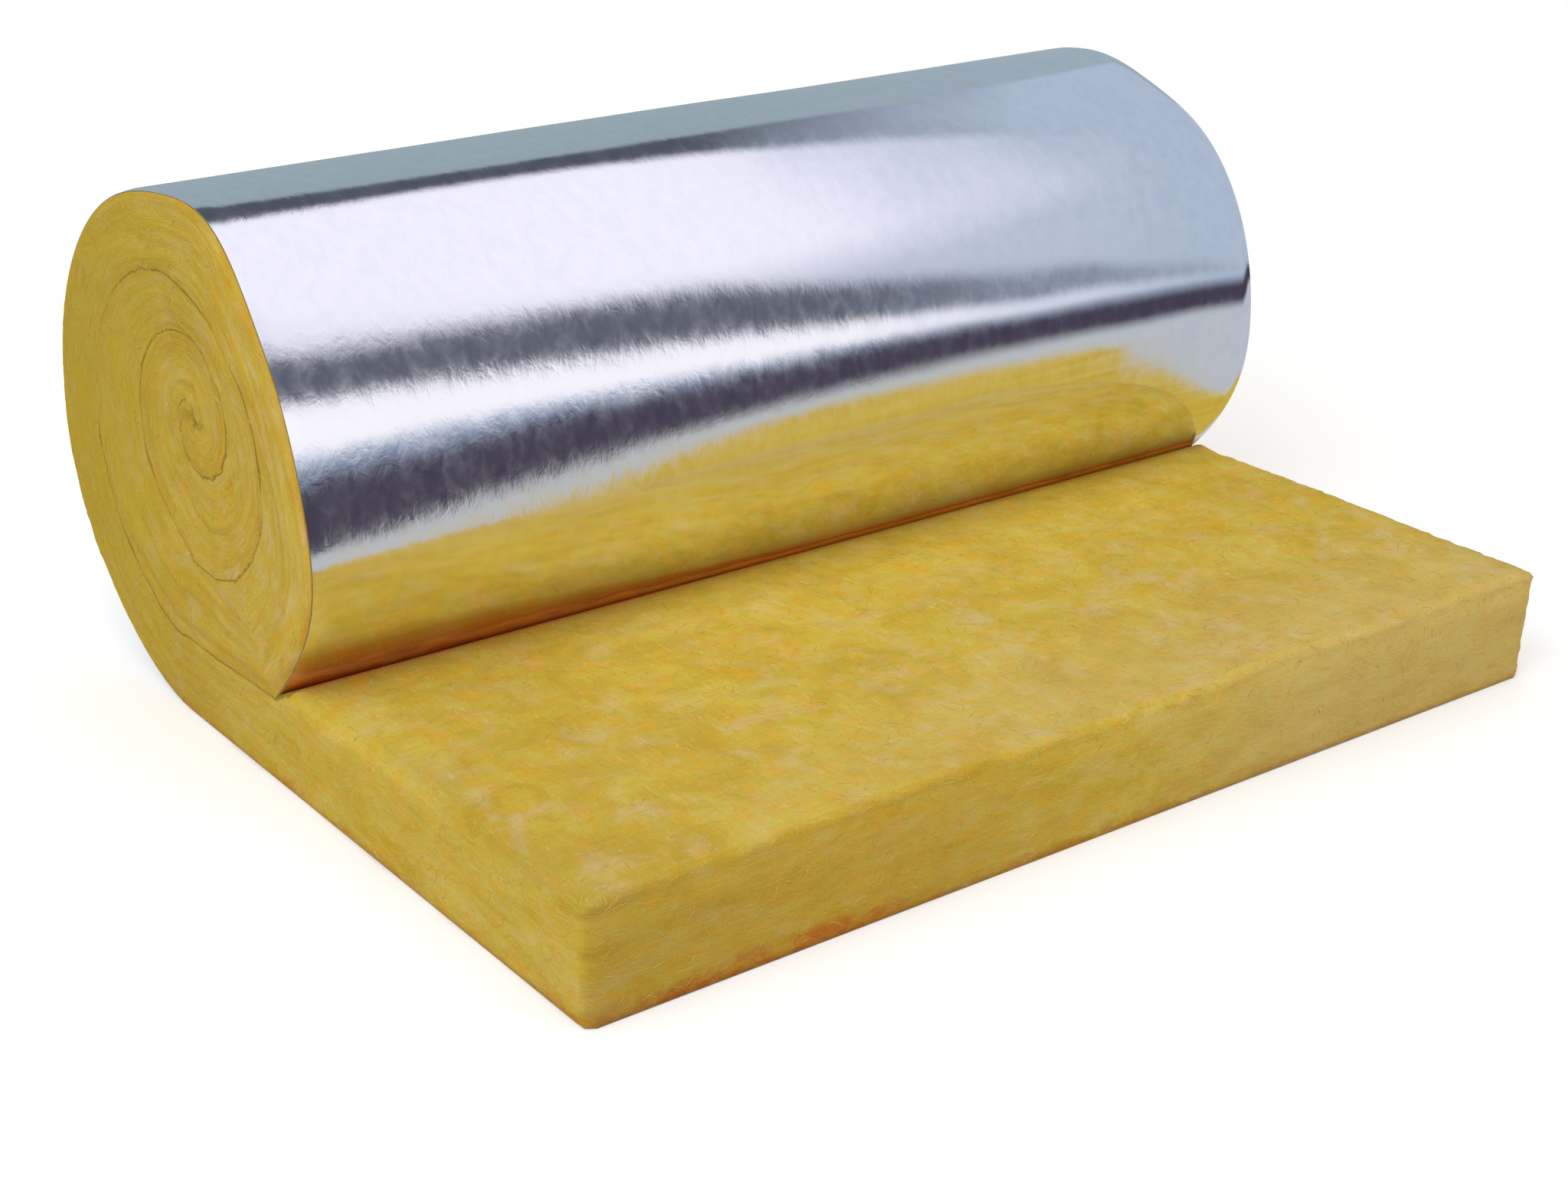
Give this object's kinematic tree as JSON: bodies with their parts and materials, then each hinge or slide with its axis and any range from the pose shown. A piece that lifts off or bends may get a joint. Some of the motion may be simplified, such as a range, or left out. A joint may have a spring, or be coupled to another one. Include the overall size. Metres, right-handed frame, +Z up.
{
  "type": "insulation roll",
  "caption": "Roll of foil-faced glass wool blanket, wound foil side out, with its outer end laid flat on the floor as a tail.",
  "frame": {"origin": "centre of the bounding box in plan, on the floor that the roll and its tail lie on", "axes": "+Y along the roll's axis and the blanket's width, +X the way the flat tail points, +Z up"},
  "size_m": [0.95, 1.2, 0.5301],
  "materials": {
    "glass_wool": "matt, fibrous yellow glass wool",
    "foil": "bright, faintly wrinkled foil"
  },
  "bodies": {
    "root": {"glass_wool_blanket": "glass_wool", "foil_facing": "foil"}
  },
  "joints": []
}
